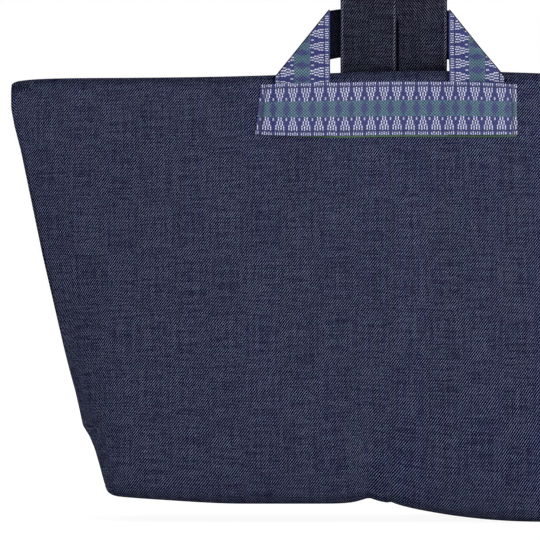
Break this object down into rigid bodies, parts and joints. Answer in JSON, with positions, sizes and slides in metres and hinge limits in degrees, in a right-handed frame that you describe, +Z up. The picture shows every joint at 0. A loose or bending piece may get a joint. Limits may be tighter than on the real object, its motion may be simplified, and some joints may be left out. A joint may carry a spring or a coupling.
{
  "type": "denim tote bag",
  "caption": "Wide denim tote with boxed corners, closed by a long strap that passes through a short ribbon-faced loop above a ribbon patch.",
  "frame": {"origin": "middle of the base, at the surface that the bag stands on", "axes": "+Z up, +X along the mouth to the viewer's right, -Y out of the front with the ribbon patch"},
  "size_m": [0.5404, 0.1294, 0.5319],
  "materials": {
    "denim": "indigo right-hand twill with white weft flecks",
    "denim_back": "dark indigo twill, plain side",
    "lining_cotton": "plain woven cotton",
    "woven_ribbon": "jacquard ribbon in blue, lavender and teal",
    "green_tape": "woven tape",
    "sewing_thread": "twisted thread"
  },
  "bodies": {
    "bag": {"front_panel": "denim", "rear_panel": "denim", "front_facing": "denim", "rear_facing": "denim", "front_lining": "lining_cotton", "rear_lining": "lining_cotton", "left_side_seam": "denim_back", "right_side_seam": "denim_back", "left_corner_seam": "denim_back", "right_corner_seam": "denim_back", "base_seam": "denim_back", "patch_tape": "green_tape", "ribbon_patch": "woven_ribbon", "patch_stitching": "sewing_thread", "loop_end_left": "denim", "loop_end_right": "denim", "strap_end_left": "denim", "strap_end_right": "denim"},
    "loop": {"loop_strap": "denim_back", "loop_ribbon": "woven_ribbon"},
    "strap": {"strap_leg_left": "denim", "strap_leg_right": "denim"},
    "hand": {"hand_loop": "denim"}
  },
  "joints": [
    {"name": "strap_swing", "type": "hinge", "parent": "bag", "child": "strap", "pos_m": [0, -0.002, 0.32988], "axis": [1, 0, 0], "range_deg": [-65, 65]},
    {"name": "loop_swing", "type": "hinge", "parent": "bag", "child": "loop", "pos_m": [0, -0.002, 0.32988], "axis": [1, 0, 0], "range_deg": [-65, 65]},
    {"name": "hand_fold", "type": "hinge", "parent": "strap", "child": "hand", "pos_m": [0, -0.002, 0.38588], "axis": [1, 0, 0], "range_deg": [-75, 75]}
  ],
  "couplings": [
    {"joint": "loop_swing", "follows": "strap_swing", "ratio": 1}
  ]
}
